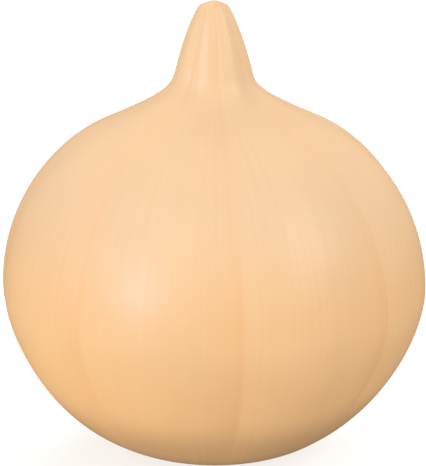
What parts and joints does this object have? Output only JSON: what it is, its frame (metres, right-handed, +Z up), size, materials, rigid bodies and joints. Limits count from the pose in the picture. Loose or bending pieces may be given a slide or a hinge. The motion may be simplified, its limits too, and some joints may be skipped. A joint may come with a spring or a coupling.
{
  "type": "onion",
  "caption": "Whole round onion with shallow gores, drawn up into a blunt fluted neck and standing on its trimmed root tuft; a fresh vegetable to place on a table or shelf.",
  "frame": {"origin": "middle of the flat spot under the root tuft that the onion stands on", "axes": "+Z up along the onion's axis, from the roots to the neck; -Y is the side that the picture shows, with +X to its right"},
  "size_m": [0.0748, 0.0748, 0.0813],
  "materials": {
    "skin": "satin",
    "root": "matte"
  },
  "bodies": {
    "root": {"bulb": "skin", "root_tuft": "root"}
  },
  "joints": []
}
